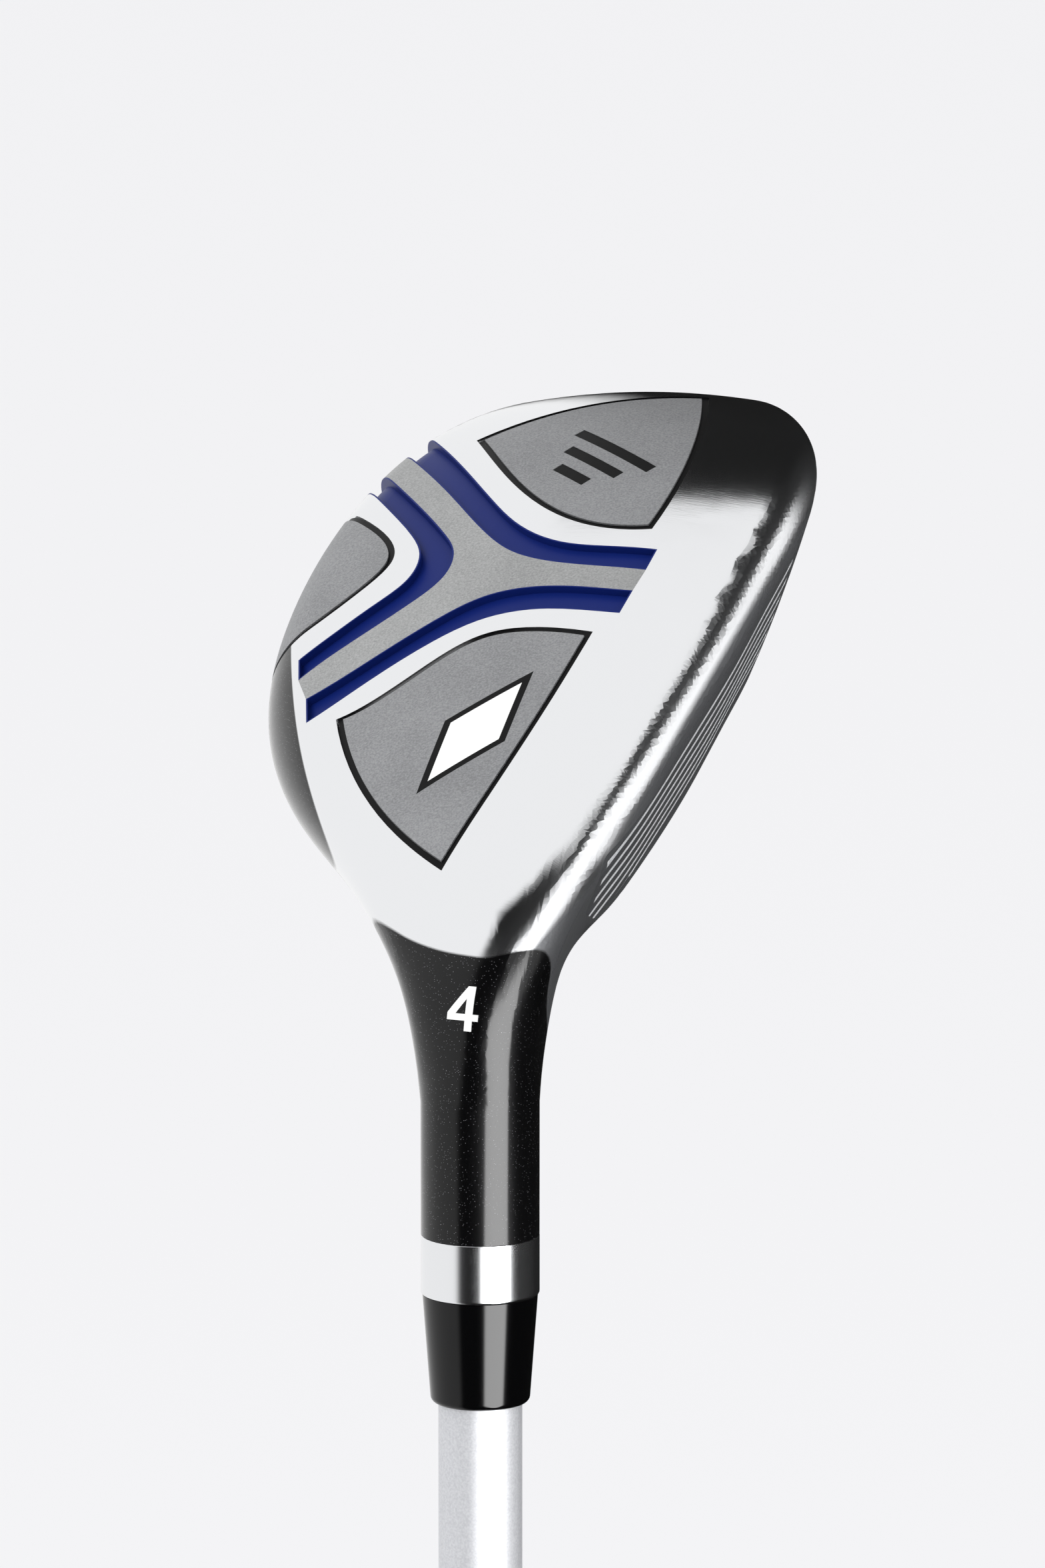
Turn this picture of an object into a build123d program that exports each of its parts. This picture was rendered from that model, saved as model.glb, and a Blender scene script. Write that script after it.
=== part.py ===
from build123d import *
import math
import os

os.makedirs("parts", exist_ok=True)

# ---------------------------------------------------------------- driving dimensions (mm, degrees)
CLUB_LENGTH = 864.0      # butt face to the point where the shaft axis meets the ground
LIE = 60.0               # shaft axis above the ground, club soled
LOFT = 28.0              # face normal above the horizontal

HOSEL_R = 6.65           # neck, trim ring
HOSEL_END = 43.6         # top of the neck, measured along the axis from the ground point
BORE_R = 4.85
BORE_DEPTH = 25.0
SHAFT_TIP_R = 4.70       # 0.370 in parallel tip
SHAFT_BUTT_R = 7.50
TIP_PARALLEL = 75.0
RING_LENGTH = 6.8
FERRULE_LENGTH = 12.4
FERRULE_TOP_R = 6.47
FERRULE_END_R = 5.54

GRIP_LENGTH = 250.0
GRIP_BUTT_R = 12.8
GRIP_MOUTH_R = 8.2
CAP_LENGTH = 3.5
VENT_R = 1.5
TAPE = 0.30

BADGE_DEPTH = 1.0        # inlaid plates
GROOVE = 0.75            # enamelled groove round each plate
GROOVE_RECESS = 0.30     # enamel surface below the sole
CHANNEL_DEPTH = 1.35     # floor of the coloured channels
CHANNEL_FILM = 0.18      # enamel thickness on floor and walls
MARK_DEPTH = 0.35
MARK_RECESS = 0.08

LINES = 6                # score lines on the face
LINE_PITCH = 3.1
LINE_WIDTH = 0.9
LINE_DEPTH = 0.45
LINE_START = -28.0       # heel end of the lowest line, from the face centre
LINE_END = 27.0
LINE_LOW = 6.2

# ---------------------------------------------------------------- the head's own axes
# A runs heel to toe, T towards the target, H up from the ground. The origin is the ground point.
S, C = math.sin(math.radians(LIE)), math.cos(math.radians(LIE))
HEAD = Plane(origin=(0, 0, CLUB_LENGTH), x_dir=(0, S, C), z_dir=(0, C, -S))   # local x, y, z = A, T, H
AXIS_END = CLUB_LENGTH - HOSEL_END


def shift(a=0.0, t=0.0, h=0.0):
    """A move given along the head's own axes."""
    return Location((t, S * a + C * h, C * a - S * h))


# ---------------------------------------------------------------- head sections
def section_plane(a, h, tilt):
    """Local x is T, local y climbs the section, leaning towards the toe by tilt."""
    w = math.radians(tilt)
    origin = HEAD.from_local_coords(Vector(a, 0, h))
    up = HEAD.from_local_coords(Vector(a + math.sin(w), 0, h + math.cos(w))) - origin
    return Plane(origin=origin, x_dir=(1, 0, 0), z_dir=Vector(1, 0, 0).cross(up))


def arc_between(centre, radius, a0, a1):
    while a1 < a0:
        a1 += 2 * math.pi
    if a1 - a0 > 1.5 * math.pi:
        a1 -= 2 * math.pi
    point = lambda a: (centre[0] + radius * math.cos(a), centre[1] + radius * math.sin(a))
    return ThreePointArc(point(a0), point((a0 + a1) / 2), point(a1))


def side_centre(c1, r1, c2, r2, radius):
    """Centre of the arc that hugs two corner circles from outside."""
    a, b = radius - r1, radius - r2
    d = math.dist(c1, c2)
    x = (a * a - b * b + d * d) / (2 * d)
    y = math.sqrt(max(a * a - x * x, 0))
    ux, uy = (c2[0] - c1[0]) / d, (c2[1] - c1[1]) / d
    return (c1[0] + ux * x - uy * y, c1[1] + uy * x + ux * y)


def head_section(lead, back, height, low=1.2, back_high=13.0, r_lead=4.0, r_top=3.0, r_back=8.0,
                 r_sole=150.0, r_crown=80.0, r_face=300.0, loft=LOFT, drop=1.0, scale=1.0, about=(-20.0, 14.0)):
    """Leading corner, face, top corner, crown, back corner and sole: six tangent arcs."""
    w = math.radians(loft)
    c_lead = (lead - r_lead, low + r_lead)
    rise = (height - drop - r_top - c_lead[1] - (r_lead - r_top) * math.sin(w)) / math.cos(w)
    c_top = (c_lead[0] + (r_lead - r_top) * math.cos(w) - rise * math.sin(w),
             c_lead[1] + (r_lead - r_top) * math.sin(w) + rise * math.cos(w))
    c_back = (back + r_back, back_high)
    grow = lambda c: (about[0] + (c[0] - about[0]) * scale, about[1] + (c[1] - about[1]) * scale)
    c_lead, c_top, c_back = grow(c_lead), grow(c_top), grow(c_back)
    r_lead, r_top, r_back, r_sole, r_crown, r_face = (r * scale for r in
                                                      (r_lead, r_top, r_back, r_sole, r_crown, r_face))
    m_face = side_centre(c_lead, r_lead, c_top, r_top, r_face)
    m_crown = side_centre(c_top, r_top, c_back, r_back, r_crown)
    m_sole = side_centre(c_back, r_back, c_lead, r_lead, r_sole)
    angle = lambda m, c: math.atan2(c[1] - m[1], c[0] - m[0])
    s_lead, f_lead = angle(m_sole, c_lead), angle(m_face, c_lead)
    f_top, c_top_a = angle(m_face, c_top), angle(m_crown, c_top)
    c_back_a, s_back = angle(m_crown, c_back), angle(m_sole, c_back)
    arc_between(c_lead, r_lead, s_lead, f_lead)
    arc_between(m_face, r_face, f_lead, f_top)
    arc_between(c_top, r_top, f_top, c_top_a)
    arc_between(m_crown, r_crown, c_top_a, c_back_a)
    arc_between(c_back, r_back, c_back_a, s_back)
    arc_between(m_sole, r_sole, s_back, s_lead)


def neck_section(radius):
    cuts = [math.radians(a) for a in (-75, 0, 35, 80, 130, 250, 285)]
    for a0, a1 in zip(cuts, cuts[1:]):
        arc_between((0, radius), radius, a0, a1)


def toe_cap(start, reach, rounding, steps, **shape):
    """Sections that close the toe, shrinking by a superellipse."""
    for step in steps:
        x = math.sin(math.radians(step))
        k = max((1 - x ** rounding) ** (1 / rounding), 0.05)
        yield start + reach * x, 0.0, 0.0, dict(shape, scale=k)


outside = [*toe_cap(58.0, 37.5, 2.42, (87, 77, 65, 52, 39, 26, 13, 0), lead=11.9, back=-49.0, height=31.0, low=1.2,
                    back_high=12.7)]
outside += [
    (46.0, 0.0, 0.0, dict(lead=12.3, back=-48.0, height=30.8)),
    (31.0, 0.3, 0.0, dict(lead=12.0, back=-43.5, height=29.0)),
    (15.5, 1.2, 9.0, dict(lead=10.9, back=-34.0, height=25.5, back_high=12.0, r_lead=4.5)),
    (3.5, 3.0, 21.0, dict(lead=9.2, back=-23.5, height=22.0, low=1.0, back_high=11.0, r_lead=4.8, r_top=4.0,
                          r_sole=90, r_crown=60, loft=26)),
    (-6.5, 6.3, 35.0, dict(lead=7.9, back=-15.0, height=19.0, low=0.8, back_high=9.5, r_lead=5.3, r_top=4.6,
                           r_back=7.2, r_sole=40, r_crown=40, r_face=120, loft=22)),
    (-13.5, 11.3, 48.0, dict(lead=7.0, back=-9.6, height=16.2, low=0.4, back_high=8.0, r_lead=5.9, r_top=5.2,
                             r_back=6.9, r_sole=18, r_crown=20, r_face=40, loft=12, drop=0.5)),
    (-18.3, 18.2, 57.0, dict(lead=6.7, back=-7.2, height=13.8, low=0.2, back_high=7.0, r_lead=6.1, r_top=5.9,
                             r_back=6.5, r_sole=9, r_crown=9, r_face=14, loft=8, drop=0.1)),
]
NECK_START = 28.5        # where the neck turns round, measured like HOSEL_END


def loft_head(stations, neck=None):
    with BuildPart() as body:
        for a, h, tilt, shape in stations:
            with BuildSketch(section_plane(a, h, tilt)):
                with BuildLine():
                    head_section(**shape)
                make_face()
        if neck:
            with BuildSketch(section_plane(-neck * C - HOSEL_R * S, neck * S - HOSEL_R * C, LIE)):
                with BuildLine():
                    neck_section(HOSEL_R)
                make_face()
        loft()
    return body.part


with BuildPart() as whole:
    add(loft_head(outside, NECK_START))
    with BuildSketch(Plane((0, 0, AXIS_END))):
        Circle(HOSEL_R)
    extrude(amount=HOSEL_END - NECK_START)
outer = whole.part

# ---------------------------------------------------------------- cavity: sole 2.4, crown 1.1, skirt 1.6, face 2.6
inside = [*toe_cap(62.0, 30.3, 2.2, (80, 66, 50, 33, 16, 0), lead=8.0, back=-47.2, height=29.2, low=3.8,
                   back_high=12.8, r_lead=2.5, r_top=2.0, r_back=6.5, r_sole=150, r_crown=79)]
inside += [
    (47.0, 0.0, 0.0, dict(lead=9.2, back=-46.7, height=29.8, low=3.7, back_high=13.2, r_lead=2.5, r_top=2.0, r_back=6.5)),
    (31.0, 0.3, 0.0, dict(lead=8.9, back=-41.8, height=27.8, low=3.8, back_high=13.2, r_lead=2.5, r_top=2.0, r_back=6.5)),
    (18.0, 1.4, 7.0, dict(lead=7.9, back=-33.5, height=24.4, low=4.2, back_high=12.6, r_lead=2.5, r_top=2.0, r_back=6.5)),
    (9.0, 3.2, 14.0, dict(lead=6.0, back=-25.0, height=20.8, low=4.6, back_high=11.6, r_lead=2.5, r_top=2.0, r_back=5.5)),
]

cavity = loft_head(inside)

# ---------------------------------------------------------------- columns and skins that shape the sole inlays
SOLE_VIEW = HEAD.offset(-6)           # plan view from under the sole; local x, y = A, T
INWARD = (0.45, 0.78)                 # T and H parts of the move that turns the head into a skin


def sunk(depth):
    """The head moved inwards: what it leaves uncovered is a skin of this depth on the sole and back."""
    return shift(t=INWARD[0] * depth, h=INWARD[1] * depth) * outer


def outline(runs, grow=0.0):
    """Closed outline from runs of points that meet at corners; grow moves every point outwards."""
    loop = [p for run in runs for p in run[:-1]]
    turn = sum(a[0] * b[1] - a[1] * b[0] for a, b in zip(loop, loop[1:] + loop[:1]))
    side = grow if turn > 0 else -grow
    moved = {}
    for before, here, after in zip(loop[-1:] + loop[:-1], loop, loop[1:] + loop[:1]):
        n1, n2 = [((b[1] - a[1]) / math.dist(a, b), (a[0] - b[0]) / math.dist(a, b))
                  for a, b in ((before, here), (here, after))]
        k = side / (1 + n1[0] * n2[0] + n1[1] * n2[1])
        moved[here] = (here[0] + k * (n1[0] + n2[0]), here[1] + k * (n1[1] + n2[1]))
    for run in runs:
        points = [moved[p] for p in run]
        Line(*points) if len(points) == 2 else Spline(*points)


def column(runs, grow=0.0):
    """A plan outline as a column from below the sole to the widest part of the back."""
    with BuildPart() as prism:
        with BuildSketch(SOLE_VIEW):
            with BuildLine():
                outline(runs, grow)
            make_face()
        extrude(amount=19)
    return prism.part


def inlay(name, columns, top=0.0, floor=BADGE_DEPTH, holes=()):
    """A piece let into the sole: its columns, from its sunk top surface down to its floor."""
    with BuildPart() as piece:
        for prism in columns:
            add(prism)
        add(skin[top] if top else outer, mode=Mode.INTERSECT)
        add(skin[floor], mode=Mode.SUBTRACT)
        for hole in holes:
            add(hole, mode=Mode.SUBTRACT)
    finish(name, piece)


def pocket(prism, floor):
    """The room cut for an inlay: its column down to the floor, open below the sole."""
    with BuildPart() as room:
        add(prism)
        add(skin[floor], mode=Mode.SUBTRACT)
    return room.part


def finish(name, piece):
    piece.part.label = name
    export_step(piece.part, f"parts/{name}.step")


# Edges shared by the three coloured channels and the Y-shaped land between them, in A, T
TOE_INNER = ((51.2, -0.8), (51.2, -7.0), (51.6, -13.2), (53.2, -18.7), (57.0, -24.1), (64.5, -31.9), (72.5, -40.2),
             (80.0, -48.0))
TOE_OUTER = ((55.0, -0.9), (54.9, -6.7), (55.1, -12.6), (57.6, -19.0), (62.9, -25.4), (69.6, -32.0), (76.5, -38.8),
             (83.5, -46.0))
BACK_TOE = ((77.5, -50.5), (70.0, -42.8), (63.0, -35.5), (56.8, -29.2), (53.4, -26.6), (49.1, -26.0), (44.4, -28.5),
            (38.6, -33.6), (32.8, -38.7))
BACK_RIM = ((74.0, -51.0), (67.4, -44.3), (61.5, -38.3), (56.6, -33.5), (53.0, -31.1), (48.8, -30.9), (44.9, -33.4),
            (40.6, -36.9), (36.4, -40.3))
HEEL_INNER = ((29.3, -36.1), (35.1, -29.6), (41.2, -23.8), (45.2, -19.0), (47.0, -13.4), (47.4, -7.2), (47.4, -0.9))
HEEL_OUTER = ((25.1, -34.2), (30.9, -28.7), (37.0, -22.9), (41.0, -17.8), (42.9, -12.2), (43.3, -6.6), (43.3, -0.9))


def band(one, other):
    """The outline between two edges, closed by a straight line at each end."""
    return [one, (one[-1], other[-1]), other[::-1], (other[0], one[0])]


CHANNELS = dict(toe=band(TOE_INNER, TOE_OUTER), back=band(BACK_TOE, BACK_RIM), heel=band(HEEL_INNER, HEEL_OUTER))
LAND = [TOE_INNER, (TOE_INNER[-1], BACK_TOE[0]), BACK_TOE, (BACK_TOE[-1], HEEL_INNER[0]), HEEL_INNER,
        (HEEL_INNER[-1], TOE_INNER[0])]
SHIELDS = dict(
    toe=[((77.0, -33.2), (84.4, -23.2), (88.4, -9.8)), ((88.4, -9.8), (74.0, -4.6), (59.3, -3.8)),
         ((59.3, -3.8), (59.5, -12.0), (63.4, -19.6), (77.0, -33.2))],
    heel=[((25.1, -29.2), (33.3, -20.8), (37.8, -16.0), (39.2, -10.0), (39.0, -3.6)),
          ((39.0, -3.6), (20.0, -4.7), (2.8, -7.2)), ((2.8, -7.2), (11.8, -19.3), (25.1, -29.2))],
    back=[((65.5, -48.5), (57.0, -38.0), (52.5, -35.4), (47.8, -37.3), (40.5, -43.2), (35.0, -48.5)),
          ((35.0, -48.5), (42.0, -56.0)), ((42.0, -56.0), (60.0, -56.0)), ((60.0, -56.0), (65.5, -48.5))])


def turned_box(a, t, length, width, turn, point=False):
    """Corners of a bar, or of a lozenge, centred at a, t and turned from the A axis."""
    w, x, y = math.radians(turn), length / 2, width / 2
    corners = [(x, 0), (0, y), (-x, 0), (0, -y)] if point else [(x, -y), (x, y), (-x, y), (-x, -y)]
    p = [(a + u * math.cos(w) - v * math.sin(w), t + u * math.sin(w) + v * math.cos(w)) for u, v in corners]
    return list(zip(p, p[1:] + p[:1]))


skin = {depth: sunk(depth) for depth in (BADGE_DEPTH, GROOVE_RECESS, CHANNEL_DEPTH, CHANNEL_DEPTH - CHANNEL_FILM,
                                         MARK_DEPTH, MARK_RECESS)}

# ---------------------------------------------------------------- marks in the plates: a lozenge and three bars
LOZENGE = turned_box(22.5, -10.8, 17.0, 7.6, 19.0, point=True)
lozenge_column, border_column = column(LOZENGE), column(LOZENGE, 0.85)
inlay("heel_motif", [lozenge_column], floor=MARK_DEPTH)
inlay("heel_motif_edge", [border_column], floor=MARK_DEPTH, holes=[lozenge_column])

bar_columns = [column(turned_box(73.6 - 2.7 * i, -14.2 - 1.62 * i, 15.0 - 4.5 * i, 1.5, -59.0)) for i in range(3)]
inlay("toe_motif", bar_columns, top=MARK_RECESS, floor=MARK_DEPTH)

marks = dict(toe=[pocket(bar, MARK_DEPTH) for bar in bar_columns], heel=[pocket(border_column, MARK_DEPTH)], back=[])

# ---------------------------------------------------------------- shield plates, their grooves, and the channels
pockets = []
for name, runs in SHIELDS.items():
    plate_column, groove_column = column(runs), column(runs, GROOVE)
    inlay(f"{name}_badge", [plate_column], holes=marks[name])
    inlay(f"{name}_badge_enamel", [groove_column], top=GROOVE_RECESS, holes=[plate_column])
    pockets.append(pocket(groove_column, BADGE_DEPTH))

for name, runs in CHANNELS.items():
    channel_column = column(runs)
    dry = pocket(column(runs, -CHANNEL_FILM), CHANNEL_DEPTH - CHANNEL_FILM)
    inlay(f"{name}_channel_enamel", [channel_column], floor=CHANNEL_DEPTH, holes=[dry])
    pockets.append(pocket(channel_column, CHANNEL_DEPTH))

land_column = column(LAND)
inlay("land_inlay", [land_column])
pockets.append(pocket(land_column, BADGE_DEPTH))

# ---------------------------------------------------------------- a plain numeral on the neck
NECK_SPOT = HEAD.from_local_coords(Vector(-13.4, 0.7, 11.8))
OUT = Vector(0, -0.976, 0.21)
with BuildPart() as numeral:
    with BuildSketch(Plane(origin=NECK_SPOT + OUT * 3, x_dir=(1, 0, 0), z_dir=OUT)):
        with BuildLine():
            Polyline((0.35, -2.5), (1.25, -2.5), (1.25, -1.35), (1.9, -1.35), (1.9, -0.6), (1.25, -0.6), (1.25, 2.5),
                     (0.35, 2.5), (-1.9, -0.55), (-1.9, -1.35), (0.35, -1.35), close=True)
        make_face()
        with BuildLine():
            Polyline((0.35, -0.6), (0.35, 1.1), (-0.85, -0.6), close=True)
        make_face(mode=Mode.SUBTRACT)
    extrude(amount=-7)
    add(shift(a=0.11, h=0.10) * outer, mode=Mode.SUBTRACT)
pockets.append(numeral.part)

with BuildPart() as neck_numeral:
    add(numeral.part)
    add(outer, mode=Mode.INTERSECT)
finish("neck_numeral", neck_numeral)

# ---------------------------------------------------------------- crown, face and body
with BuildPart() as crown_column:
    with BuildSketch(HEAD.offset(14)):
        with BuildLine():
            Spline((12.0, -9.5), (30.0, -8.0), (56.0, -8.0), (79.0, -11.0), (87.5, -20.0), (83.0, -31.0),
                   (71.0, -39.5), (54.0, -43.0), (38.0, -40.5), (24.0, -32.5), (14.0, -20.5), periodic=True)
        make_face()
    extrude(amount=26)

with BuildPart() as crown_plate:
    add(crown_column.part)
    add(outer, mode=Mode.INTERSECT)
    add(cavity, mode=Mode.SUBTRACT)
finish("crown_plate", crown_plate)

tip_back = math.radians(LOFT)
FACE_NORMAL = HEAD.from_local_coords(Vector(0, math.cos(tip_back), math.sin(tip_back))) - HEAD.origin
FACE_CENTRE = HEAD.from_local_coords(Vector(38.0, 7.4, 15.0))
FACE = Plane(origin=FACE_CENTRE, x_dir=HEAD.x_dir, z_dir=FACE_NORMAL)   # local x heel to toe, y down the face

with BuildPart() as face_column:
    with BuildSketch(FACE.offset(6)) as plate:
        with BuildLine():
            Polyline((-30, 7.6), (34, 8.2), (43, 3.0), (44, -4.0), (36, -10.5), (22, -13.2), (-6, -11.4), (-24, -7.6),
                     (-31, 0.0), close=True)
        make_face()
        fillet(plate.vertices(), 2.2)
    extrude(amount=-10)

with BuildPart() as score_lines:
    with BuildSketch(FACE.offset(4)):
        for i in range(LINES):
            start, end = LINE_START + 1.3 * i, LINE_END
            with Locations(((start + end) / 2, LINE_LOW - LINE_PITCH * i)):
                Rectangle(end - start, LINE_WIDTH)
    extrude(amount=-8)
    add(shift(t=-LINE_DEPTH * math.cos(tip_back), h=-LINE_DEPTH * math.sin(tip_back)) * outer, mode=Mode.SUBTRACT)

with BuildPart() as face_plate:
    add(face_column.part)
    add(outer, mode=Mode.INTERSECT)
    add(cavity, mode=Mode.SUBTRACT)
    add(score_lines.part, mode=Mode.SUBTRACT)
finish("face_plate", face_plate)

with BuildPart() as head_body:
    add(outer)
    add(cavity, mode=Mode.SUBTRACT)
    add(crown_column.part, mode=Mode.SUBTRACT)
    add(face_column.part, mode=Mode.SUBTRACT)
    for room in pockets:
        add(room, mode=Mode.SUBTRACT)
    with BuildSketch(Plane((0, 0, AXIS_END - 1))):
        Circle(BORE_R)
    extrude(amount=BORE_DEPTH + 1, mode=Mode.SUBTRACT)
finish("head_body", head_body)

# ---------------------------------------------------------------- turned parts on the shaft axis
def turned(*profile):
    """A closed profile of radius, height points, revolved about the shaft axis."""
    with BuildPart() as blank:
        with BuildSketch(Plane.XZ):
            with BuildLine():
                Polyline(*profile, close=True)
            make_face()
        revolve(axis=Axis.Z)
    return blank.part


def rims(piece, low, high, radius):
    """Circular edges between two heights that are larger than a radius."""
    return [e for e in piece.edges().filter_by(GeomType.CIRCLE) if e.radius > radius and low <= e.center().Z <= high]


TIP_Z = AXIS_END + BORE_DEPTH - 1.2
TAPER_END = TIP_Z - TIP_PARALLEL
RING_Z = AXIS_END - RING_LENGTH
FERRULE_Z = RING_Z - FERRULE_LENGTH


def shaft_r(z):
    """Outside radius of the shaft at a height above the butt."""
    return SHAFT_TIP_R + (SHAFT_BUTT_R - SHAFT_TIP_R) * max(TAPER_END - z, 0) / TAPER_END


with BuildPart() as shaft:
    add(turned((shaft_r(CAP_LENGTH), CAP_LENGTH), (SHAFT_TIP_R, TAPER_END), (SHAFT_TIP_R, TIP_Z), (3.0, TIP_Z),
         (3.0, TAPER_END), (6.4, CAP_LENGTH)))
finish("shaft", shaft)

with BuildPart() as tip_weight:
    add(turned((0, TIP_Z - 15), (2.95, TIP_Z - 15), (2.95, TIP_Z), (4.6, TIP_Z), (4.6, TIP_Z + 1), (0, TIP_Z + 1)))
finish("tip_weight", tip_weight)

with BuildPart() as hosel_epoxy:
    add(turned((SHAFT_TIP_R, AXIS_END), (BORE_R, AXIS_END), (BORE_R, TIP_Z + 1.2), (0, TIP_Z + 1.2), (0, TIP_Z + 1),
         (4.6, TIP_Z + 1), (4.6, TIP_Z), (SHAFT_TIP_R, TIP_Z)))
finish("hosel_epoxy", hosel_epoxy)

with BuildPart() as trim_ring:
    add(turned((SHAFT_TIP_R + 0.02, RING_Z), (HOSEL_R, RING_Z), (HOSEL_R, AXIS_END), (SHAFT_TIP_R + 0.02, AXIS_END)))
    fillet(rims(trim_ring, RING_Z - 1, RING_Z + 1, 6), 0.35)
    chamfer(rims(trim_ring, AXIS_END - 1, AXIS_END + 1, 6), 0.12)
finish("trim_ring", trim_ring)

with BuildPart() as ferrule:
    add(turned((SHAFT_TIP_R + 0.02, FERRULE_Z), (FERRULE_END_R, FERRULE_Z), (FERRULE_TOP_R, RING_Z),
         (SHAFT_TIP_R + 0.02, RING_Z)))
    fillet(rims(ferrule, FERRULE_Z - 1, FERRULE_Z + 1, 5), 0.75)
finish("ferrule", ferrule)

# ---------------------------------------------------------------- grip end
with BuildPart() as grip:
    with BuildSketch(Plane.XZ):
        with BuildLine():
            Spline((GRIP_BUTT_R, CAP_LENGTH), (12.5, 30.0), (11.1, 110.0), (9.5, 190.0), (GRIP_MOUTH_R, GRIP_LENGTH))
            Polyline((GRIP_MOUTH_R, GRIP_LENGTH), (shaft_r(GRIP_LENGTH) + TAPE, GRIP_LENGTH),
                     (shaft_r(CAP_LENGTH) + TAPE, CAP_LENGTH), (GRIP_BUTT_R, CAP_LENGTH))
        make_face()
    revolve(axis=Axis.Z)
    fillet(rims(grip, GRIP_LENGTH - 1, GRIP_LENGTH + 1, GRIP_MOUTH_R - 0.1), 0.6)
finish("grip", grip)

TAPE_END = GRIP_LENGTH - 5
with BuildPart() as grip_tape:
    add(turned((shaft_r(CAP_LENGTH), CAP_LENGTH), (shaft_r(CAP_LENGTH) + TAPE, CAP_LENGTH), (shaft_r(TAPE_END) + TAPE, TAPE_END),
         (shaft_r(TAPE_END), TAPE_END)))
finish("grip_tape", grip_tape)

with BuildPart() as grip_cap:
    add(turned((VENT_R, 0), (GRIP_BUTT_R, 0), (GRIP_BUTT_R, CAP_LENGTH), (VENT_R, CAP_LENGTH)))
    fillet(rims(grip_cap, -1, 1, 10), 1.8)
finish("grip_cap", grip_cap)
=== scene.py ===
import math

import bmesh
import bpy
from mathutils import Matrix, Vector, kdtree


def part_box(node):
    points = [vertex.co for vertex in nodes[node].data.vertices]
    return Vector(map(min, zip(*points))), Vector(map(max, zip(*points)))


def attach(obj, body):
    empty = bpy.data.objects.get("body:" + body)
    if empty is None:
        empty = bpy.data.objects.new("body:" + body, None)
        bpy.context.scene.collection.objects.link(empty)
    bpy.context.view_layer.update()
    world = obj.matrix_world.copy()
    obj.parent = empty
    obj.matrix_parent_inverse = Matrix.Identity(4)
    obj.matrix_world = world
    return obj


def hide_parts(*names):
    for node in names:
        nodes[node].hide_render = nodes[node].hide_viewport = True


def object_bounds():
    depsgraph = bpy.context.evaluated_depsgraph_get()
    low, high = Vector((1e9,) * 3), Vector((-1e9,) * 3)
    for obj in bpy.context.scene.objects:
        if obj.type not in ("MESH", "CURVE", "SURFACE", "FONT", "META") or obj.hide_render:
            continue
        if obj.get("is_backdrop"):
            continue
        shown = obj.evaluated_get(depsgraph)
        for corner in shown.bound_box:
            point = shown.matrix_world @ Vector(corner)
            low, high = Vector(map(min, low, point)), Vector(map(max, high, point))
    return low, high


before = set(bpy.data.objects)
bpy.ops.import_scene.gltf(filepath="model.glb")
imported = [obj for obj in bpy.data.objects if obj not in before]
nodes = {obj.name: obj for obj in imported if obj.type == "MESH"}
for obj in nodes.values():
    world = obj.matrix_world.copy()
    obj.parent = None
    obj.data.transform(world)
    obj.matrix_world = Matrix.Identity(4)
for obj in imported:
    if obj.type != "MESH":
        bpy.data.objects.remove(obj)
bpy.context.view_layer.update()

# ---------------------------------------------------------------- head casting
# Hollow stainless casting. The sole is polished and then brushed, the neck and the upper skirt are sprayed black with
# fine metal flake, and the surface round the face plate is blasted. The crown and the face are welded in.
MM = 0.001
LIE = math.radians(60)
LOFT = math.radians(28)
GROUND = Vector((0, 0, 0.864))                      # where the shaft axis meets the ground
TARGET = Vector((1, 0, 0))
TOE = Vector((0, math.sin(LIE), math.cos(LIE)))
UP = Vector((0, math.cos(LIE), -math.sin(LIE)))     # from the sole to the crown
FACE_OUT = TARGET * math.cos(LOFT) + UP * math.sin(LOFT)
FACE_UP = UP * math.cos(LOFT) - TARGET * math.sin(LOFT)
MERGE = 2e-6
SAME_SURFACE = math.cos(math.radians(24))           # facets further apart than this meet at a real edge
HEAD_EVENING, CROWN_EVENING = 2.4 * MM, 1.6 * MM


def linear(code):
    """An sRGB hex colour as the linear colour that shaders take."""
    parts = [int(code[i:i + 2], 16) / 255 for i in (0, 2, 4)]
    return tuple(c / 12.92 if c <= 0.04045 else ((c + 0.055) / 1.055) ** 2.4 for c in parts) + (1.0,)


def new_material(name):
    """An empty material, its node tree and the place of each point in metres."""
    material = bpy.data.materials.new(name)
    material.use_nodes = True
    tree = material.node_tree
    tree.nodes.clear()
    return material, tree, add_node(tree, "ShaderNodeTexCoord").outputs["Object"]


def add_node(tree, kind, inputs=None, **settings):
    """Adds a node with its settings; each input is given a value, or the node or socket that feeds it."""
    node = tree.nodes.new(kind)
    for key, value in settings.items():
        setattr(node, key, value)
    for key, value in (inputs or {}).items():
        if isinstance(value, bpy.types.Node):
            value = next(socket for socket in value.outputs if socket.enabled)
        if isinstance(value, bpy.types.NodeSocket):
            tree.links.new(value, node.inputs[key])
        else:
            node.inputs[key].default_value = value
    return node


def relief(tree, place, per_metre, detail, strength, depth):
    """A fine unevenness of the surface: its pattern, and the bump that the pattern makes."""
    pattern = add_node(tree, "ShaderNodeTexNoise", {"Vector": place, "Scale": per_metre, "Detail": detail})
    bump = add_node(tree, "ShaderNodeBump", {"Height": pattern.outputs["Fac"], "Strength": strength, "Distance": depth})
    return pattern.outputs["Fac"], bump


def two_tones(tree, pattern, first, first_at, second, second_at):
    """Runs a pattern from one colour to another."""
    ramp = add_node(tree, "ShaderNodeValToRGB", {"Fac": pattern})
    start, end = ramp.color_ramp.elements
    start.color, start.position = linear(first), first_at
    end.color, end.position = linear(second), second_at
    return ramp


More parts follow.
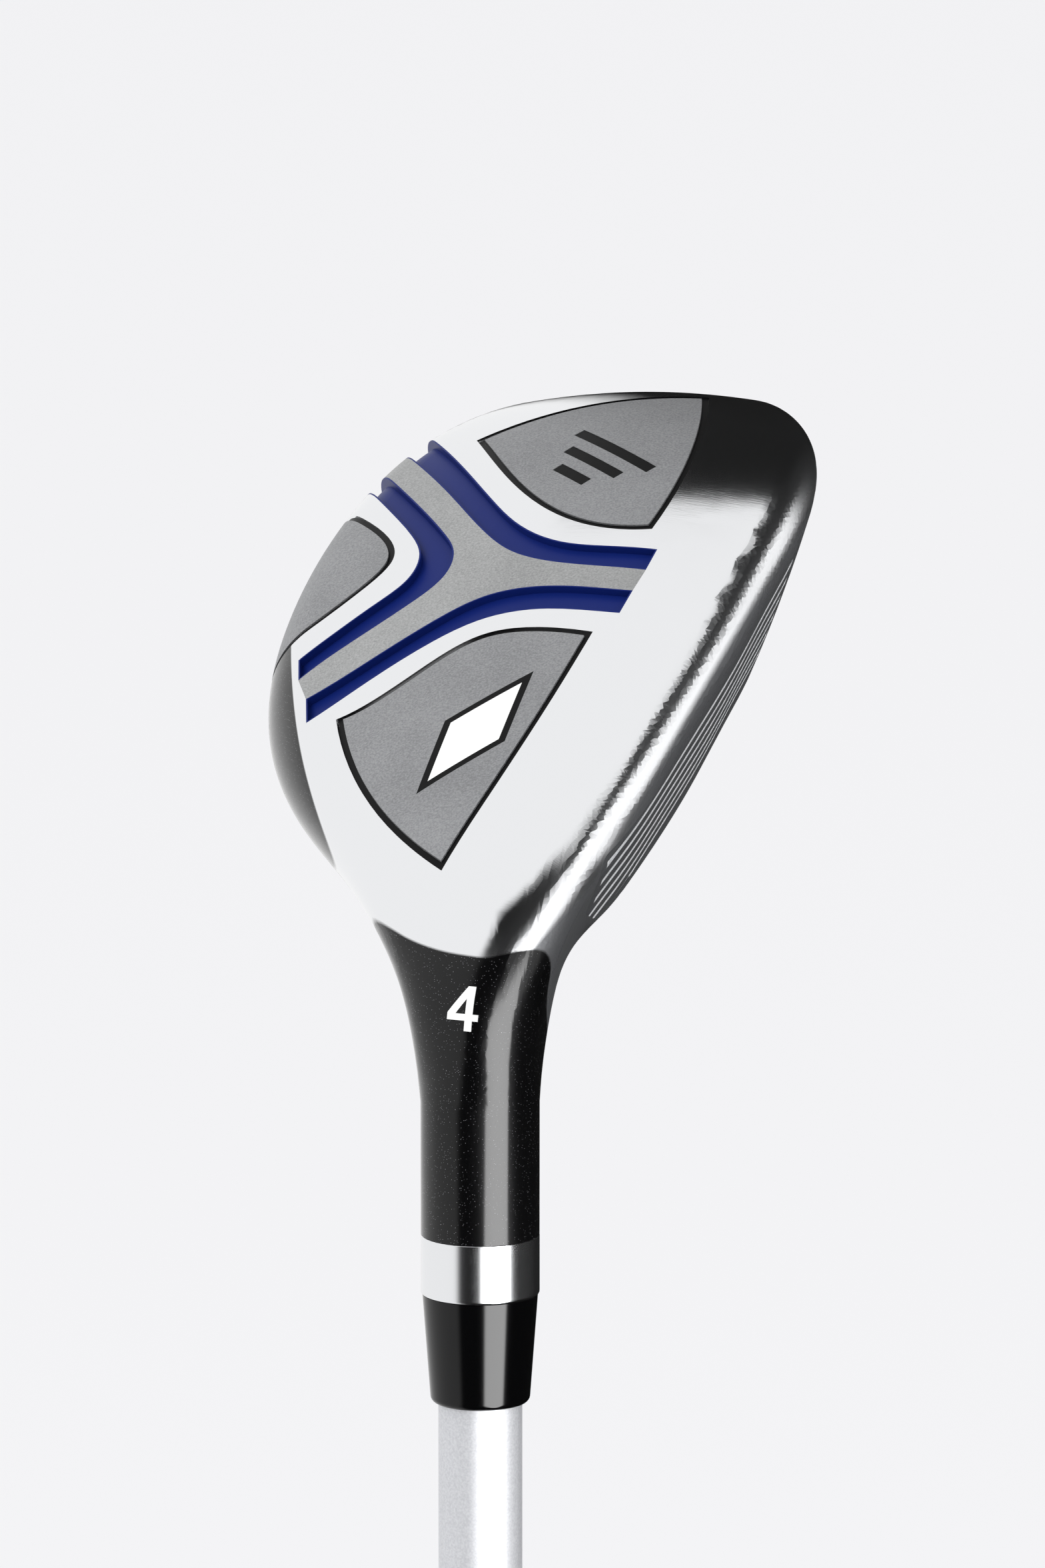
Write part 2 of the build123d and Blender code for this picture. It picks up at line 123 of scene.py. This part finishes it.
def measure(tree, place, axis, origin=GROUND):
    """Millimetres along an axis from an origin, at each point of the surface."""
    along = add_node(tree, "ShaderNodeVectorMath", {0: place, 1: axis / MM}, operation="DOT_PRODUCT")
    return add_node(tree, "ShaderNodeMath", {0: along.outputs["Value"], 1: axis.dot(origin) / MM}, operation="SUBTRACT")


def coat(thing, material):
    thing.data.materials.clear()
    thing.data.materials.append(material)


def stand_in(name, mesh, node):
    """Puts a mesh in the scene in place of a CAD piece."""
    piece = bpy.data.objects.new(name, mesh)
    bpy.context.scene.collection.objects.link(piece)
    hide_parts(node)
    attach(piece, "root")
    return piece


def evened_copy(name, radius):
    """A merged copy of a CAD piece, its normals evened out over a small radius so that reflections run smoothly."""
    bm = bmesh.new()
    bm.from_mesh(nodes[name].data)
    bmesh.ops.remove_doubles(bm, verts=bm.verts, dist=MERGE)
    bmesh.ops.dissolve_degenerate(bm, edges=bm.edges, dist=MERGE)
    mesh = bpy.data.meshes.new(name + "_finished")
    bm.to_mesh(mesh)
    bm.free()
    faces = [(f.center.copy(), f.normal.copy(), f.area) for f in mesh.polygons]
    tree = kdtree.KDTree(len(faces))
    for i, face in enumerate(faces):
        tree.insert(face[0], i)
    tree.balance()
    at_vertex = {}
    for f in mesh.polygons:
        f.use_smooth = True
        for v in f.vertices:
            at_vertex.setdefault(v, []).append(f.index)
    near = {v: {i for _, i, _ in tree.find_range(mesh.vertices[v].co, radius)} | set(own)
            for v, own in at_vertex.items()}
    normals = []
    for f in mesh.polygons:
        facing = faces[f.index][1]
        for v in f.vertices:
            total = Vector((0, 0, 0))
            for i in near[v]:
                _, normal, area = faces[i]
                if normal.dot(facing) > SAME_SURFACE:
                    total += normal * area
            normals.append(total.normalized() if total.length > 0 else facing)
    mesh.normals_split_custom_set(normals)
    return stand_in(name + "_finished", mesh, name)


head = evened_copy("head_body", HEAD_EVENING)
head_metal, tree, place = new_material("stainless_brushed_blasted_and_flake_painted")
t, a, h = (measure(tree, place, axis) for axis in (TARGET, TOE, UP))
front = measure(tree, place, FACE_OUT)

# The paint line is a parabola round the heel, tighter on the face side, and a level belt round the skirt.
PAINT_TIP_T, PAINT_TIP_A = 1.5, -8.6                # millimetres: the parabola's tip on the sole
BEND_BEHIND, BEND_AHEAD = 0.0245, 0.11              # millimetres towards the toe per square millimetre
BELT, EDGE = 14.0, 0.12                             # the belt's height, and half the width of a masked edge
t_off = add_node(tree, "ShaderNodeMath", {0: t, 1: PAINT_TIP_T}, operation="SUBTRACT")
behind = add_node(tree, "ShaderNodeMath", {0: t_off, 1: 0.0}, operation="MINIMUM")
ahead = add_node(tree, "ShaderNodeMath", {0: t_off, 1: 0.0}, operation="MAXIMUM")
behind = add_node(tree, "ShaderNodeMath", {0: behind, 1: 2.0}, operation="POWER")
ahead = add_node(tree, "ShaderNodeMath", {0: ahead, 1: 2.0}, operation="POWER")
curve = add_node(tree, "ShaderNodeMath", {0: behind, 1: BEND_BEHIND, 2: PAINT_TIP_A}, operation="MULTIPLY_ADD")
curve = add_node(tree, "ShaderNodeMath", {0: ahead, 1: BEND_AHEAD, 2: curve}, operation="MULTIPLY_ADD")
past_curve = add_node(tree, "ShaderNodeMath", {0: a, 1: curve}, operation="SUBTRACT")
off_heel = add_node(tree, "ShaderNodeMapRange", {"Value": past_curve, "From Min": -EDGE, "From Max": EDGE})
below_belt = add_node(tree, "ShaderNodeMapRange", {"Value": h, "From Min": BELT + EDGE, "From Max": BELT - EDGE})
sole_zone = add_node(tree, "ShaderNodeMath", {0: off_heel, 1: below_belt}, operation="MULTIPLY")

# The blasted zone starts a set way forward along the face normal, and creeps back towards the heel.
CREEP_FROM, CREEP = 15.0, 0.006
BLAST_START, BLAST_FULL = 12.2, 12.9
NECK_START, NECK_OFF = -7.7, -7.3
heelward = add_node(tree, "ShaderNodeMath", {0: CREEP_FROM, 1: a}, operation="SUBTRACT")
heelward = add_node(tree, "ShaderNodeMath", {0: heelward, 1: 0.0}, operation="MAXIMUM")
heelward = add_node(tree, "ShaderNodeMath", {0: heelward, 1: 2.0}, operation="POWER")
front = add_node(tree, "ShaderNodeMath", {0: heelward, 1: CREEP, 2: front}, operation="MULTIPLY_ADD")
blasted_front = add_node(tree, "ShaderNodeMapRange",
                         {"Value": front, "From Min": BLAST_START, "From Max": BLAST_FULL})
off_neck = add_node(tree, "ShaderNodeMapRange", {"Value": a, "From Min": NECK_START, "From Max": NECK_OFF})
face_zone = add_node(tree, "ShaderNodeMath", {0: blasted_front, 1: off_neck}, operation="MULTIPLY")
face_bare = add_node(tree, "ShaderNodeMath", {0: face_zone, 1: off_heel}, operation="MULTIPLY")
shown_bare = add_node(tree, "ShaderNodeMath", {0: sole_zone, 1: face_bare}, operation="MAXIMUM")

# Brushed stainless: scratches 3 mm long and 0.1 mm apart. Reflections blur more where the leading edge rolls over.
SCRATCHES = (350, 9000, 3000)                       # per metre across, along and through the sole
ROLL_START, ROLL_END, FLAT_ROUGHNESS, ROLLED_ROUGHNESS = 8.0, 12.0, 0.07, 0.27
grain = add_node(tree, "ShaderNodeMapping", {"Vector": place, "Rotation": (LIE, 0, 0), "Scale": SCRATCHES})
_, scratch_bump = relief(tree, grain, 1.0, 2.0, 0.10, 0.02 * MM)
cloud = add_node(tree, "ShaderNodeTexNoise", {"Vector": place, "Scale": 60.0, "Detail": 3.0})     # 17 mm patches
rolled = add_node(tree, "ShaderNodeMapRange", {"Value": front, "From Min": ROLL_START, "From Max": ROLL_END,
                                               "To Min": FLAT_ROUGHNESS, "To Max": ROLLED_ROUGHNESS})
rough = add_node(tree, "ShaderNodeMath", {0: cloud.outputs["Fac"], 1: 0.05, 2: rolled}, operation="MULTIPLY_ADD")
polished = add_node(tree, "ShaderNodeBsdfPrincipled", {
    "Normal": scratch_bump, "Roughness": rough, "Metallic": 1.0, "Base Color": linear("F0F1F3")})

# Blasted stainless: real pits are under 0.1 mm and are drawn at 0.3 mm to show. The part-metal mix and the dark tint
# are set for a duller low angle than bare steel has.
PITS, PIT_DEPTH = 3200.0, 0.06 * MM                 # pits per metre
_, pit_bump = relief(tree, place, PITS, 2.0, 0.5, PIT_DEPTH)
blasted = add_node(tree, "ShaderNodeBsdfPrincipled", {
    "Normal": pit_bump, "Metallic": 0.6, "Roughness": 0.40, "Base Color": linear("727375"),
    "Specular Tint": linear("6A6A6C")})

# Flake paint: metal flakes in black, drawn at 0.25 mm to show, under a clear coat that mirrors less than a real one.
flake = add_node(tree, "ShaderNodeTexVoronoi", {"Vector": place, "Scale": 4000.0})
flake_tone = two_tones(tree, flake.outputs["Distance"], "C4C5CA", 0.04, "050506", 0.13)
painted = add_node(tree, "ShaderNodeBsdfPrincipled", {
    "Base Color": flake_tone, "Roughness": 0.35, "Specular IOR Level": 0.1,
    "Coat Weight": 1.0, "Coat Roughness": 0.11, "Coat IOR": 1.33})
bare = add_node(tree, "ShaderNodeMixShader", {0: face_zone, 1: polished, 2: blasted})
skin = add_node(tree, "ShaderNodeMixShader", {0: shown_bare, 1: painted, 2: bare})
add_node(tree, "ShaderNodeOutputMaterial", {"Surface": skin})
coat(head, head_metal)

# ---------------------------------------------------------------- crown
# Welded crown sheet, ground flush and sprayed in gloss black lacquer under a clear coat.
# The lacquer keeps a faint orange peel, about 1.5 mm from crest to crest.
crown_lacquer, tree, place = new_material("gloss_black_lacquer_sprayed")
_, peel_bump = relief(tree, place, 700.0, 1.0, 0.03, 0.03 * MM)
lacquer = add_node(tree, "ShaderNodeBsdfPrincipled", {
    "Normal": peel_bump, "Base Color": linear("0B0B0D"), "Roughness": 0.22,
    "Coat Weight": 1.0, "Coat Roughness": 0.04, "Coat IOR": 1.33})
add_node(tree, "ShaderNodeOutputMaterial", {"Surface": lacquer})
coat(evened_copy("crown_plate", CROWN_EVENING), crown_lacquer)

# ---------------------------------------------------------------- face plate
# Rolled and blasted plate, welded in. Its score lines were milled after blasting; their near-white colour is a painted
# highlight for the light that their groove walls catch.
# The line sizes repeat the CAD's, in millimetres; the lowest line is that far below the face centre.
LINES, LINE_PITCH, LINE_WIDTH, LOWEST_LINE = 6, 3.1, 0.9, 6.2
LINE_HEEL_END, LINE_TOE_END, BURR = -28.5, 27.3, 0.06
FACE_CENTRE = GROUND + (TOE * 38.0 + TARGET * 7.4 + UP * 15.0) * MM
LINES_FROM = -LOWEST_LINE - LINE_PITCH / 2
LINES_TO = LINES_FROM + LINES * LINE_PITCH
face_steel, tree, place = new_material("maraging_steel_blasted_with_painted_highlight_lines")
up_face = measure(tree, place, FACE_UP, FACE_CENTRE)
across = measure(tree, place, TOE, FACE_CENTRE)
in_pitch = add_node(tree, "ShaderNodeMath", {0: up_face, 1: -LINES_FROM}, operation="ADD")
in_pitch = add_node(tree, "ShaderNodeMath", {0: in_pitch, 1: LINE_PITCH}, operation="FLOORED_MODULO")
from_line = add_node(tree, "ShaderNodeMath", {0: in_pitch, 1: LINE_PITCH / 2}, operation="SUBTRACT")
from_line = add_node(tree, "ShaderNodeMath", {0: from_line}, operation="ABSOLUTE")
# Mask of the score lines, where the painted highlight goes.
painted_highlight_mask = add_node(tree, "ShaderNodeMapRange",
                  {"Value": from_line, "From Min": LINE_WIDTH / 2 + BURR, "From Max": LINE_WIDTH / 2})
for value, low, high in ((up_face, LINES_FROM, LINES_TO), (across, LINE_HEEL_END, LINE_TOE_END)):
    above = add_node(tree, "ShaderNodeMath", {0: value, 1: low}, operation="GREATER_THAN")
    below = add_node(tree, "ShaderNodeMath", {0: value, 1: high}, operation="LESS_THAN")
    painted_highlight_mask = add_node(tree, "ShaderNodeMath", {0: painted_highlight_mask, 1: above}, operation="MULTIPLY")
    painted_highlight_mask = add_node(tree, "ShaderNodeMath", {0: painted_highlight_mask, 1: below}, operation="MULTIPLY")
_, pit_bump = relief(tree, place, PITS, 2.0, 0.5, PIT_DEPTH)
plate_steel = add_node(tree, "ShaderNodeBsdfPrincipled", {
    "Normal": pit_bump, "Metallic": 0.6, "Roughness": 0.42, "Base Color": linear("6A6B6D"),
    "Specular Tint": linear("3C3C3D")})
# Painted highlight: a near-white colour on the score lines stands for the light caught on their groove walls.
line_painted_highlight = add_node(tree, "ShaderNodeBsdfPrincipled", {
    "Metallic": 0.2, "Roughness": 0.5, "Base Color": linear("D8D9DA")})
plate = add_node(tree, "ShaderNodeMixShader", {0: painted_highlight_mask, 1: plate_steel, 2: line_painted_highlight})
add_node(tree, "ShaderNodeOutputMaterial", {"Surface": plate})
coat(nodes["face_plate"], face_steel)

# ---------------------------------------------------------------- plates let into the sole
# Three shields and a Y, stamped from aluminium sheet, bead-blasted grey and bonded flush into milled pockets.
# The dimples are drawn at 0.25 mm to show, over faint 11 mm patches.


def bead_blasted(name, dark, light, roughness):
    material, tree, place = new_material(name)
    beads, dimples = relief(tree, place, 4200.0, 2.0, 0.3, 0.05 * MM)
    patch = add_node(tree, "ShaderNodeTexNoise", {"Vector": place, "Scale": 90.0, "Detail": 2.0})
    both = add_node(tree, "ShaderNodeMix", {"Factor": 0.25, "A": beads, "B": patch.outputs["Fac"]})
    metal = add_node(tree, "ShaderNodeBsdfPrincipled", {
        "Normal": dimples, "Base Color": two_tones(tree, both, dark, 0.35, light, 0.65), "Metallic": 0.7,
        "Roughness": roughness})
    add_node(tree, "ShaderNodeOutputMaterial", {"Surface": metal})
    return material


shield_metal = bead_blasted("aluminium_bead_blasted_mid_grey", "8C8D8F", "A8A9AB", 0.5)
land_metal = bead_blasted("aluminium_bead_blasted_light_grey", "9C9D9D", "BABBBB", 0.46)
for name in ("toe_badge", "heel_badge", "back_badge"):
    coat(nodes[name], shield_metal)
coat(nodes["land_inlay"], land_metal)

# ---------------------------------------------------------------- enamel fills
# Epoxy enamel, flooded into the grooves and wiped level: black lines round the shields, blue in the channels,
# black and white in the marks. It cures satin, with ripples about 2 mm apart in a slightly sunk surface.


def enamel(name, code, roughness=0.35, shine=0.25):
    material, tree, place = new_material(name)
    _, flow = relief(tree, place, 500.0, 1.0, 0.08, 0.04 * MM)
    paint = add_node(tree, "ShaderNodeBsdfPrincipled", {
        "Normal": flow, "Base Color": linear(code), "Roughness": roughness, "Specular IOR Level": shine})
    add_node(tree, "ShaderNodeOutputMaterial", {"Surface": paint})
    return material


black_enamel = enamel("epoxy_enamel_black_filled", "050506", 0.4, 0.12)
blue_enamel = enamel("epoxy_enamel_blue_filled", "102268", 0.4, 0.12)
white_enamel = enamel("epoxy_enamel_white_filled", "F2F2F0")
for name in ("toe_badge_enamel", "heel_badge_enamel", "back_badge_enamel", "toe_motif", "heel_motif_edge"):
    coat(nodes[name], black_enamel)
for name in ("toe_channel_enamel", "back_channel_enamel", "heel_channel_enamel"):
    coat(nodes[name], blue_enamel)
for name in ("heel_motif", "neck_numeral"):
    coat(nodes[name], white_enamel)

# ---------------------------------------------------------------- trim ring and ferrule
# A turned aluminium ring and a turned, buffed plastic ferrule, slid on the shaft before it is bonded.
# Both keep faint turning marks round the axis, given here per metre across, across and along it.
for name, label, turning_marks, finish in (
    ("trim_ring", "aluminium_turned_and_polished", (300, 300, 14000),
     {"Base Color": linear("EDEEF0"), "Metallic": 1.0, "Roughness": 0.2}),
    ("ferrule", "celluloid_turned_and_buffed_black", (200, 200, 6000),
     {"Base Color": linear("070708"), "Roughness": 0.14, "Specular IOR Level": 0.3}),
):
    material, tree, place = new_material(label)
    turning = add_node(tree, "ShaderNodeMapping", {"Vector": place, "Scale": turning_marks})
    _, mark_bump = relief(tree, turning, 1.0, 1.0, 0.05, 0.02 * MM)
    turned = add_node(tree, "ShaderNodeBsdfPrincipled", {"Normal": mark_bump, **finish})
    add_node(tree, "ShaderNodeOutputMaterial", {"Surface": turned})
    coat(nodes[name], material)

# ---------------------------------------------------------------- shaft
# Wrapped carbon-fibre tube, sanded and sprayed with silver pearl paint under a satin clear coat.
# The pearl is finer than 0.1 mm, so it is drawn at 0.25 mm to show at all.
shaft_paint, tree, place = new_material("carbon_tube_sprayed_silver_pearl")
pearl = add_node(tree, "ShaderNodeTexNoise", {"Vector": place, "Scale": 4000.0, "Detail": 1.0})
silver = add_node(tree, "ShaderNodeBsdfPrincipled", {
    "Base Color": two_tones(tree, pearl.outputs["Fac"], "C6C7CB", 0.3, "D6D7DA", 0.7), "Metallic": 0.5,
    "Roughness": 0.55, "Coat Weight": 0.15, "Coat Roughness": 0.3})
add_node(tree, "ShaderNodeOutputMaterial", {"Surface": silver})
coat(nodes["shaft"], shaft_paint)

# ---------------------------------------------------------------- grip
# Moulded rubber sleeve: bands of shallow rings, 1.6 mm apart, between plain lengths, open on the tape inside.
# The harder butt cap closes it. The rubber is matt, with a fine nap and lighter worn points.
RING_DEPTH, RING_PITCH, BANDS = 0.35 * MM, 1.6 * MM, ((0.012, 0.060), (0.075, 0.150), (0.165, 0.225))
BUTT_RADIUS, MOUTH_RADIUS, TAPER, MOUTH_CHAMFER = 12.8 * MM, 8.2 * MM, 1.1, 0.6 * MM
BORE_AT_BUTT, BORE_AT_MOUTH = 7.79 * MM, 6.89 * MM
LENGTH_STEPS, ROUND_STEPS = 480, 64
(_, _, grip_foot), (_, _, grip_mouth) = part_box("grip")


def grip_radius(z):
    along = (z - grip_foot) / (grip_mouth - grip_foot)
    radius = BUTT_RADIUS + (MOUTH_RADIUS - BUTT_RADIUS) * along ** TAPER
    if any(low <= z <= high for low, high in BANDS):
        radius -= RING_DEPTH * (0.5 - 0.5 * math.cos(2 * math.pi * z / RING_PITCH)) ** 2
    return radius - max(z - grip_mouth + MOUTH_CHAMFER, 0)


bm = bmesh.new()
ends = [bm.verts.new((BUTT_RADIUS, 0, grip_foot)), bm.verts.new((MOUTH_RADIUS, 0, grip_mouth))]
bmesh.ops.subdivide_edges(bm, edges=[bm.edges.new(ends)], cuts=LENGTH_STEPS - 1)
for vert in bm.verts:
    vert.co.x = grip_radius(vert.co.z)
foot = min(bm.verts, key=lambda vert: vert.co.z)
mouth = max(bm.verts, key=lambda vert: vert.co.z)
bore_mouth = bm.verts.new((BORE_AT_MOUTH, 0, grip_mouth))
bore_foot = bm.verts.new((BORE_AT_BUTT, 0, grip_foot))
for pair in ((mouth, bore_mouth), (bore_mouth, bore_foot), (bore_foot, foot)):
    bm.edges.new(pair)
bmesh.ops.spin(bm, geom=bm.verts[:] + bm.edges[:], cent=(0, 0, 0), axis=(0, 0, 1), angle=2 * math.pi,
               steps=ROUND_STEPS, use_merge=True)
bmesh.ops.remove_doubles(bm, verts=bm.verts, dist=1e-6)
bmesh.ops.recalc_face_normals(bm, faces=bm.faces)
for face in bm.faces:
    face.smooth = abs(face.normal.z) < 0.9          # the two flat ends stay flat
mesh = bpy.data.meshes.new("grip_sleeve")
bm.to_mesh(mesh)
bm.free()
sleeve = stand_in("grip_sleeve", mesh, "grip")

grip_rubber, tree, place = new_material("rubber_moulded_matt_black")
nap, nap_bump = relief(tree, place, 2500.0, 3.0, 0.3, 0.1 * MM)
rubber = add_node(tree, "ShaderNodeBsdfPrincipled", {
    "Normal": nap_bump, "Base Color": two_tones(tree, nap, "141416", 0.0, "2A2A2D", 1.0), "Roughness": 0.7,
    "Specular IOR Level": 0.3})
add_node(tree, "ShaderNodeOutputMaterial", {"Surface": rubber})
coat(sleeve, grip_rubber)
coat(nodes["grip_cap"], grip_rubber)

# ---------------------------------------------------------------- hidden pieces
# Cured adhesive in the neck, the brass tip plug and the creped paper tape under the grip.
# None of them shows, so they share the enamel's and the blasted plates' fine surfaces.
coat(nodes["hosel_epoxy"], enamel("epoxy_adhesive_cured", "9E9884", 0.5))
coat(nodes["grip_tape"], enamel("paper_tape_creped", "CFC6AE", 0.8))
coat(nodes["tip_weight"], bead_blasted("brass_turned", "A8864A", "C2A05E", 0.3))

# ---------------------------------------------------------------- floor, light and camera
# A pale seamless floor under an even pale surround. Glossy surfaces see soft boxes instead: walls of light left and
# right, a box overhead and a hot strip low on the right, with dark gaps between. They are placed for this camera.
CAMERA_TURN, CAMERA_RISE, CAMERA_DISTANCE = math.radians(26), math.radians(10), 1.1
LENS, SENSOR = 227.8, 36
AIM = Vector((0.0037, 0.0032, 0.8711))
FLOOR_HALF_WIDTH = 60
KEY_PLACE, KEY_AIM, KEY_WIDTH, KEY_WATTS = Vector((-0.9, -1.2, 2.2)), Vector((0, 0, 0.87)), 1.2, 12
towards_camera = Vector((math.sin(CAMERA_TURN) * math.cos(CAMERA_RISE), -math.cos(CAMERA_TURN) * math.cos(CAMERA_RISE),
                         math.sin(CAMERA_RISE)))
camera = bpy.data.objects.new("camera", bpy.data.cameras.new("camera"))
bpy.context.scene.collection.objects.link(camera)
camera.location = AIM + towards_camera * CAMERA_DISTANCE
camera.rotation_mode = "QUATERNION"
camera.rotation_quaternion = (-towards_camera).to_track_quat("-Z", "Y")
camera.data.lens, camera.data.sensor_width = LENS, SENSOR
camera.data.clip_start, camera.data.clip_end = 0.05, 200
bpy.context.scene.camera = camera
bpy.context.scene.view_settings.view_transform = "Standard"

floor_paint, tree, _ = new_material("floor_paint_pale_matt")
floor_shader = add_node(tree, "ShaderNodeBsdfDiffuse", {"Color": linear("F2F2F3")})
add_node(tree, "ShaderNodeOutputMaterial", {"Surface": floor_shader})
bm = bmesh.new()
bmesh.ops.create_grid(bm, x_segments=1, y_segments=1, size=FLOOR_HALF_WIDTH)
mesh = bpy.data.meshes.new("floor")
bm.to_mesh(mesh)
bm.free()
mesh.materials.append(floor_paint)
floor = bpy.data.objects.new("floor", mesh)
bpy.context.scene.collection.objects.link(floor)
floor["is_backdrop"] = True
floor.visible_glossy = False

key = bpy.data.lights.new("key", "AREA")
key.shape, key.size, key.energy = "DISK", KEY_WIDTH, KEY_WATTS
lamp = bpy.data.objects.new("key", key)
bpy.context.scene.collection.objects.link(lamp)
lamp.location = KEY_PLACE
lamp.rotation_mode = "QUATERNION"
lamp.rotation_quaternion = (KEY_PLACE - KEY_AIM).to_track_quat("Z", "Y")
lamp.visible_glossy = False

# Each box is a brightness and its limits: an axis of the reflected direction, where it is dark and where it is bright.
X, Y, Z = (1, 0, 0), (0, 1, 0), (0, 0, 1)
HEEL_EDGE, LEADING_EDGE, TOE_CORNER = (-0.4, 1, 0), (1, 1.5, 0), (1, 3, 0)
LEFT_WALL = (0.95, ((X, -0.44, -0.50),))
LEFT_FRONT = (0.95, ((X, -0.20, -0.40), (Y, 0.37, 0.34)))
OVERHEAD = (0.95, ((LEADING_EDGE, 0.62, 0.50), (TOE_CORNER, 0.99, 0.85), (Y, 0.37, 0.34), (HEEL_EDGE, -0.42, -0.20),
                   (Z, 0.40, 0.50)))
HOT_STRIP = (13.0, ((X, 0.50, 0.58), (Y, -0.10, -0.18), (Z, 0.42, 0.12)))
RIGHT_WALL = (1.2, ((X, 0.50, 0.62), (Z, 0.64, 0.50), (Z, -0.12, 0.0)))
GAP_GLOW, SURROUND = 0.01, 1.1
world = bpy.data.worlds.new("studio")
bpy.context.scene.world = world
world.use_nodes = True
tree = world.node_tree
tree.nodes.clear()
direction = add_node(tree, "ShaderNodeTexCoord").outputs["Generated"]
glow = GAP_GLOW
for brightness, limits in (LEFT_WALL, LEFT_FRONT, OVERHEAD, HOT_STRIP, RIGHT_WALL):
    box = brightness
    for axis, dark, bright in limits:
        along = add_node(tree, "ShaderNodeVectorMath", {0: direction, 1: axis}, operation="DOT_PRODUCT")
        edge = add_node(tree, "ShaderNodeMapRange",
                        {"Value": along.outputs["Value"], "From Min": dark, "From Max": bright},
                        interpolation_type="SMOOTHSTEP")
        box = add_node(tree, "ShaderNodeMath", {0: edge, 1: box}, operation="MULTIPLY")
    glow = add_node(tree, "ShaderNodeMath", {0: box, 1: glow}, operation="MAXIMUM")
ray = add_node(tree, "ShaderNodeLightPath")
pale = add_node(tree, "ShaderNodeBackground", {"Color": linear("F4F4F5"), "Strength": SURROUND})
boxes = add_node(tree, "ShaderNodeBackground", {"Strength": glow, "Color": linear("FFFFFF")})
both = add_node(tree, "ShaderNodeMixShader", {0: ray.outputs["Is Glossy Ray"], 1: pale, 2: boxes})
add_node(tree, "ShaderNodeOutputWorld", {"Surface": both})

low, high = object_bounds()
